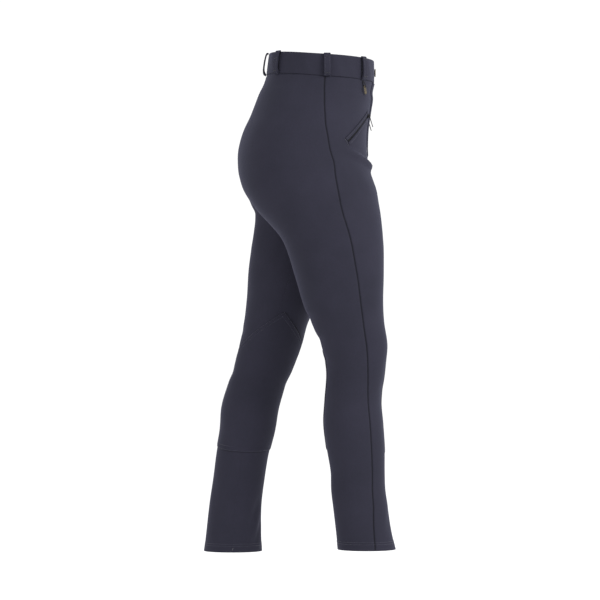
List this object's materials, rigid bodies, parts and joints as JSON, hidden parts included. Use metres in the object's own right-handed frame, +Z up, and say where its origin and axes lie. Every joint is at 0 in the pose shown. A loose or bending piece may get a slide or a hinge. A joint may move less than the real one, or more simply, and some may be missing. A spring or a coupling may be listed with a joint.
{
  "type": "pair of riding breeches",
  "caption": "Worn riding breeches in mid stride with a looped waistband, fly, slanted front zip pockets, inner knee patches and open hems.",
  "frame": {"origin": "middle of the waistband's ring, halfway up the band, where the wearer's waist holds the breeches up", "axes": "+X forwards, the way the wearer walks; +Y the wearer's left; +Z up"},
  "size_m": [0.3671, 0.3448, 0.961],
  "materials": {
    "navy_cloth": "matt, dark navy stretch cloth with a fine plain face",
    "navy_band_cloth": "the same cloth folded and faced, dark navy and matt",
    "black_cord": "matt black braided cord",
    "black_zip": "satin black nylon coil",
    "black_metal": "satin black lacquered metal",
    "antique_brass": "darkened antique brass, satin"
  },
  "bodies": {
    "garment": {"front_right": "navy_cloth", "front_left": "navy_cloth", "back_right": "navy_cloth", "back_left": "navy_cloth", "fly_front": "navy_cloth", "knee_patch_right": "navy_cloth", "knee_patch_left": "navy_cloth", "pocket_welt_upper_right": "navy_cloth", "pocket_welt_upper_left": "navy_cloth", "pocket_welt_lower_right": "navy_cloth", "pocket_welt_lower_left": "navy_cloth", "waistband": "navy_band_cloth", "belt_loop_back": "navy_band_cloth", "belt_loop_back_left": "navy_band_cloth", "belt_loop_back_right": "navy_band_cloth", "belt_loop_side_left": "navy_band_cloth", "belt_loop_side_right": "navy_band_cloth", "belt_loop_front_left": "navy_band_cloth", "belt_loop_front_right": "navy_band_cloth", "pocket_zip_right": "black_zip", "pocket_zip_left": "black_zip", "pocket_slider_right": "black_metal", "pocket_slider_left": "black_metal", "waist_button": "antique_brass", "tag_cord": "black_cord"},
    "pull_right": {"pocket_pull_right": "black_metal"},
    "pull_left": {"pocket_pull_left": "black_metal"},
    "tag": {"brass_tag": "antique_brass"}
  },
  "joints": [
    {"name": "pull_right_swing", "type": "hinge", "parent": "garment", "child": "pull_right", "pos_m": [0.09029, -0.0635, -0.09591], "axis": [-0.2482, -0.9687, 0], "range_deg": [-16, 100]},
    {"name": "pull_left_swing", "type": "hinge", "parent": "garment", "child": "pull_left", "pos_m": [0.09029, 0.0635, -0.09591], "axis": [0.2482, -0.9687, 0], "range_deg": [-16, 100]},
    {"name": "tag_swing", "type": "hinge", "parent": "garment", "child": "tag", "pos_m": [0.08087, -0.08724, -0.0426], "axis": [0.8172, -0.5763, 0], "range_deg": [-45, 45]}
  ]
}
